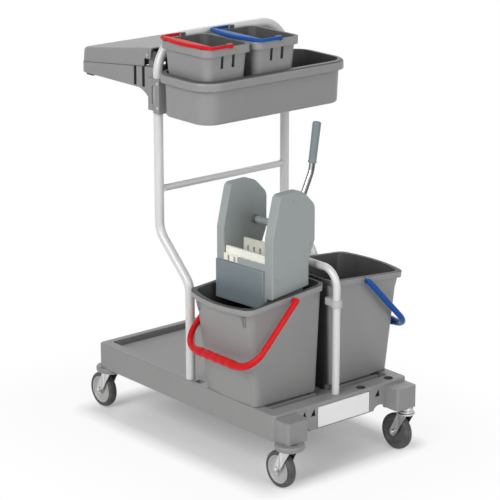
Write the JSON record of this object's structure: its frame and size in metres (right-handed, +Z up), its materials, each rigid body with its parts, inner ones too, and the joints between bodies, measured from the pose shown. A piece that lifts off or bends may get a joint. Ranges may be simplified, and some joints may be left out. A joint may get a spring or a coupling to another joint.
{
  "type": "cleaning trolley",
  "caption": "Wheeled cleaning trolley with mop buckets, a lever press in one of them, a tool tray with pails and a lidded bag holder on a bent tube frame.",
  "frame": {"origin": "On the floor, below the middle of the box around the whole trolley.", "axes": "+Z up; +X towards the end with the blank white plate; -Y towards the bucket that carries the press."},
  "size_m": [0.912, 0.5848, 1.1145],
  "materials": {
    "grey_plastic": "fine satin moulded grain",
    "pale_plastic": "fine satin moulded grain",
    "press_plastic": "satin",
    "black_plastic": "matt",
    "red_plastic": "semi-gloss",
    "blue_plastic": "semi-gloss",
    "cream_nylon": "satin",
    "grip_plastic": "satin",
    "white_plate": "semi-gloss",
    "silver_tube": "smooth powder coat",
    "zinc_steel": "zinc plated",
    "chrome_steel": "bright",
    "hub_plastic": "satin",
    "dark_hub": "satin",
    "tyre_rubber": "matt",
    "bumper_rubber": "matt"
  },
  "bodies": {
    "trolley": {"base_platform": "grey_plastic", "blank_plate": "white_plate", "upright_frame": "silver_tube", "cross_bar": "silver_tube", "bucket_arch": "silver_tube", "arch_clip": "grey_plastic", "upper_tray": "grey_plastic", "left_tray_clamp": "grey_plastic", "right_tray_clamp": "grey_plastic", "clamp_screws": "zinc_steel", "bag_holder": "grey_plastic", "hinge_pins": "zinc_steel", "bag_catch": "black_plastic", "front_left_bumper": "bumper_rubber", "rear_left_bumper": "bumper_rubber", "front_left_castor_head": "zinc_steel", "front_right_castor_head": "zinc_steel", "rear_left_castor_head": "zinc_steel", "rear_right_castor_head": "zinc_steel"},
    "lid_body": {"lid": "pale_plastic"},
    "red_bucket_body": {"red_bucket": "grey_plastic"},
    "blue_bucket_body": {"blue_bucket": "grey_plastic"},
    "red_bail_body": {"red_bail": "red_plastic"},
    "blue_bail_body": {"blue_bail": "blue_plastic"},
    "small_red_pail_body": {"small_red_pail": "grey_plastic"},
    "small_blue_pail_body": {"small_blue_pail": "grey_plastic"},
    "small_red_bail_body": {"small_red_bail": "red_plastic"},
    "small_blue_bail_body": {"small_blue_bail": "blue_plastic"},
    "press": {"press_body": "press_plastic", "left_ear_cover": "press_plastic", "right_ear_cover": "press_plastic", "cover_screws": "zinc_steel", "front_jaw": "cream_nylon"},
    "lever": {"press_shaft": "chrome_steel", "shaft_collars": "zinc_steel", "left_pinion": "zinc_steel", "right_pinion": "zinc_steel", "lever_tube": "chrome_steel", "lever_grip": "grip_plastic"},
    "jaw": {"rear_jaw": "cream_nylon", "left_rack": "cream_nylon", "right_rack": "cream_nylon"},
    "front_left_swivel": {"front_left_fork": "zinc_steel", "front_left_axle": "zinc_steel"},
    "front_left_wheel": {"front_left_hub": "hub_plastic", "front_left_tyre": "tyre_rubber"},
    "front_right_swivel": {"front_right_fork": "zinc_steel", "front_right_axle": "zinc_steel"},
    "front_right_wheel": {"front_right_hub": "dark_hub", "front_right_tyre": "tyre_rubber"},
    "rear_left_swivel": {"rear_left_fork": "zinc_steel", "rear_left_axle": "zinc_steel"},
    "rear_left_wheel": {"rear_left_hub": "hub_plastic", "rear_left_tyre": "tyre_rubber"},
    "rear_right_swivel": {"rear_right_fork": "zinc_steel", "rear_right_axle": "zinc_steel"},
    "rear_right_wheel": {"rear_right_hub": "dark_hub", "rear_right_tyre": "tyre_rubber"}
  },
  "joints": [
    {"name": "front_left_swivel_turn", "type": "hinge", "parent": "trolley", "child": "front_left_swivel", "pos_m": [0.416, -0.206, 0.112], "axis": [0, 0, 1], "continuous": true},
    {"name": "front_left_wheel_spin", "type": "hinge", "parent": "front_left_swivel", "child": "front_left_wheel", "pos_m": [0.382, -0.206, 0.05], "axis": [0, 1, 0], "continuous": true},
    {"name": "front_right_swivel_turn", "type": "hinge", "parent": "trolley", "child": "front_right_swivel", "pos_m": [0.416, 0.206, 0.112], "axis": [0, 0, 1], "continuous": true},
    {"name": "front_right_wheel_spin", "type": "hinge", "parent": "front_right_swivel", "child": "front_right_wheel", "pos_m": [0.382, 0.206, 0.05], "axis": [0, 1, 0], "continuous": true},
    {"name": "rear_left_swivel_turn", "type": "hinge", "parent": "trolley", "child": "rear_left_swivel", "pos_m": [-0.352, -0.206, 0.112], "axis": [0, 0, 1], "continuous": true},
    {"name": "rear_left_wheel_spin", "type": "hinge", "parent": "rear_left_swivel", "child": "rear_left_wheel", "pos_m": [-0.386, -0.206, 0.05], "axis": [0, 1, 0], "continuous": true},
    {"name": "rear_right_swivel_turn", "type": "hinge", "parent": "trolley", "child": "rear_right_swivel", "pos_m": [-0.352, 0.206, 0.112], "axis": [0, 0, 1], "continuous": true},
    {"name": "rear_right_wheel_spin", "type": "hinge", "parent": "rear_right_swivel", "child": "rear_right_wheel", "pos_m": [-0.386, 0.206, 0.05], "axis": [0, 1, 0], "continuous": true},
    {"name": "lid_hinge", "type": "hinge", "parent": "trolley", "child": "lid_body", "pos_m": [-0.145, 0, 1.05], "axis": [0, 1, 0], "range_deg": [0, 105]},
    {"name": "red_bucket_lift", "type": "slide", "parent": "trolley", "child": "red_bucket_body", "axis": [0, 0, 1], "range_m": [0, 0.06]},
    {"name": "red_bail_swing", "type": "hinge", "parent": "red_bucket_body", "child": "red_bail_body", "pos_m": [0.209, -0.127, 0.47736], "axis": [-1, 0, 0], "range_deg": [0, 80]},
    {"name": "blue_bucket_lift", "type": "slide", "parent": "trolley", "child": "blue_bucket_body", "axis": [0, 0, 1], "range_m": [0, 0.15]},
    {"name": "blue_bail_swing", "type": "hinge", "parent": "blue_bucket_body", "child": "blue_bail_body", "pos_m": [0.209, 0.127, 0.47736], "axis": [1, 0, 0], "range_deg": [0, 130]},
    {"name": "press_lift", "type": "slide", "parent": "red_bucket_body", "child": "press", "axis": [0, 0, 1], "range_m": [0, 0.08]},
    {"name": "lever_pull", "type": "hinge", "parent": "press", "child": "lever", "pos_m": [0.20586, -0.07614, 0.641], "axis": [0.9962, 0.0872, 0], "range_deg": [0, 70]},
    {"name": "jaw_slide", "type": "slide", "parent": "press", "child": "jaw", "axis": [0.0872, -0.9962, 0], "range_m": [0, 0.0246]},
    {"name": "small_red_pail_lift", "type": "slide", "parent": "trolley", "child": "small_red_pail_body", "axis": [0, 0, 1], "range_m": [0, 0.12]},
    {"name": "small_red_bail_swing", "type": "hinge", "parent": "small_red_pail_body", "child": "small_red_bail_body", "pos_m": [0.029, -0.162, 1.1085], "axis": [-1, 0, 0], "range_deg": [0, 160]},
    {"name": "small_blue_pail_lift", "type": "slide", "parent": "trolley", "child": "small_blue_pail_body", "axis": [0, 0, 1], "range_m": [0, 0.12]},
    {"name": "small_blue_bail_swing", "type": "hinge", "parent": "small_blue_pail_body", "child": "small_blue_bail_body", "pos_m": [0.029, 0.002, 1.1085], "axis": [-1, 0, 0], "range_deg": [0, 160]}
  ],
  "couplings": [
    {"joint": "jaw_slide", "follows": "lever_pull", "m_per_rad": 0.02}
  ]
}
